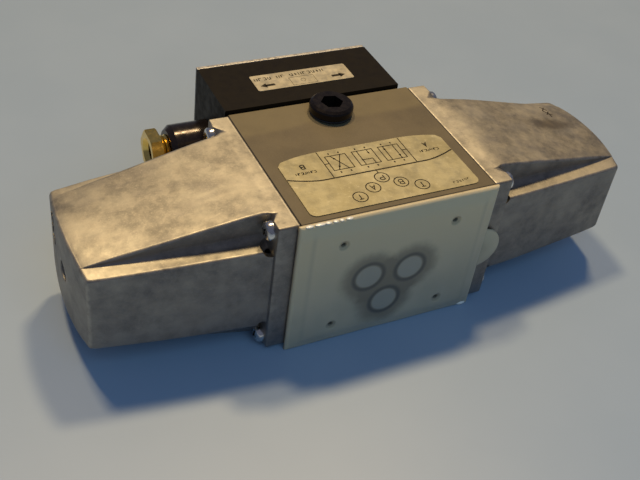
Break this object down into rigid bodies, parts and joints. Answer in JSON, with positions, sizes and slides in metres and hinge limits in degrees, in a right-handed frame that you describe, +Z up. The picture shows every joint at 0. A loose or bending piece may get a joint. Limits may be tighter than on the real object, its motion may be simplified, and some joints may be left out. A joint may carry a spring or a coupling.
{
  "type": "solenoid operated directional control valve",
  "caption": "Spring-centred hydraulic spool valve with a solenoid in a tapered cast cover at each end, a terminal box behind and a shipping plate over its ports.",
  "frame": {"origin": "centre of the four mounting bolts on the mounting face", "axes": "+X along the spool towards solenoid A, +Y from the mounting face into the valve, +Z up, with the valve lying on its side as in the picture"},
  "size_m": [0.264, 0.1262, 0.076],
  "materials": {
    "body_iron": "ground grey iron under a thin brown-grey paint",
    "spool_steel": "ground hardened steel",
    "spring_steel": "drawn spring wire",
    "magnet_iron": "turned soft magnetic steel",
    "tube_steel": "turned stainless steel",
    "seal_rubber": "moulded nitrile rubber",
    "port_seal_rubber": "moulded nitrile rubber, oiled",
    "coil_plastic": "moulded glass-filled nylon",
    "coil_copper": null,
    "yoke_steel": "dark plated magnet steel",
    "plated_steel": "zinc-plated steel",
    "wire_sleeve": "wire insulation",
    "cast_aluminium": "raw die-cast alloy, mottled, satin",
    "gasket_sheet": "cut gasket sheet",
    "bright_screw": "bright plated steel",
    "override_brass": "turned steel pin",
    "black_oxide": "black oxide, oiled, soft gloss",
    "black_oxide_tube": "black oxide, glossy",
    "plate_foil": "satin anodised foil with a dark printed legend",
    "box_paint": "black paint, satin",
    "lid_paint": "dark paint with bare edges",
    "terminal_plastic": "moulded cream plastic",
    "terminal_brass": "turned brass",
    "label_foil": "satin foil label with dark print",
    "bushing_brass": "turned bright brass",
    "shipping_plastic": "translucent milky moulded plastic"
  },
  "bodies": {
    "root": {"valve_body": "body_iron", "pole_piece_a": "magnet_iron", "pole_piece_b": "magnet_iron", "core_tube_a": "tube_steel", "core_tube_b": "tube_steel", "tube_seal_a": "seal_rubber", "tube_seal_b": "seal_rubber", "coil_bobbin_a": "coil_plastic", "coil_bobbin_b": "coil_plastic", "coil_winding_a": "coil_copper", "coil_winding_b": "coil_copper", "coil_yoke_a": "yoke_steel", "coil_yoke_b": "yoke_steel", "yoke_cap_a": "yoke_steel", "yoke_cap_b": "yoke_steel", "coil_nut_a": "plated_steel", "coil_nut_b": "plated_steel", "coil_leads_a": "wire_sleeve", "coil_leads_b": "wire_sleeve", "solenoid_cover_a": "cast_aluminium", "solenoid_cover_b": "cast_aluminium", "cover_gasket_a": "gasket_sheet", "cover_gasket_b": "gasket_sheet", "cover_screws_a": "bright_screw", "cover_screws_b": "bright_screw", "override_seal_a": "seal_rubber", "override_seal_b": "seal_rubber", "port_seals": "port_seal_rubber", "hex_socket_plug": "black_oxide", "plug_seal": "seal_rubber", "nameplate": "plate_foil", "terminal_box": "box_paint", "box_gasket": "gasket_sheet", "box_lid": "lid_paint", "lid_gasket": "gasket_sheet", "lid_screws": "bright_screw", "box_screws": "bright_screw", "terminal_block": "terminal_plastic", "terminal_screws": "terminal_brass", "box_label": "label_foil", "conduit_adapter": "black_oxide_tube", "conduit_locknut": "plated_steel", "brass_bushing": "bushing_brass"},
    "spool_train": {"spool": "spool_steel", "spring_seat_a": "spool_steel", "spring_seat_b": "spool_steel", "centring_spring_a": "spring_steel", "centring_spring_b": "spring_steel"},
    "plunger_a": {"armature_a": "magnet_iron", "push_pin_a": "spool_steel"},
    "plunger_b": {"armature_b": "magnet_iron", "push_pin_b": "spool_steel"},
    "override_a": {"override_pin_a": "override_brass"},
    "override_b": {"override_pin_b": "override_brass"},
    "shipping_plate": {"shipping_cover": "shipping_plastic"}
  },
  "joints": [
    {"name": "spool_slide", "type": "slide", "parent": "root", "child": "spool_train", "axis": [1, 0, 0], "range_m": [-0.004, 0.004], "stiffness_N_per_m": 6000, "deforming": ["centring_spring_a", "centring_spring_b"]},
    {"name": "plunger_a_slide", "type": "slide", "parent": "root", "child": "plunger_a", "axis": [1, 0, 0], "range_m": [-0.004, 0.004]},
    {"name": "plunger_b_slide", "type": "slide", "parent": "root", "child": "plunger_b", "axis": [1, 0, 0], "range_m": [-0.004, 0.004]},
    {"name": "override_a_slide", "type": "slide", "parent": "root", "child": "override_a", "axis": [-1, 0, 0], "range_m": [0, 0.0035], "stiffness_N_per_m": 500},
    {"name": "override_b_slide", "type": "slide", "parent": "root", "child": "override_b", "axis": [1, 0, 0], "range_m": [0, 0.0035], "stiffness_N_per_m": 500},
    {"name": "shipping_cover_pull", "type": "slide", "parent": "root", "child": "shipping_plate", "axis": [0, -1, 0], "range_m": [0, 0.03]}
  ],
  "couplings": [
    {"joint": "plunger_a_slide", "follows": "spool_slide", "ratio": 1},
    {"joint": "plunger_b_slide", "follows": "spool_slide", "ratio": 1}
  ]
}
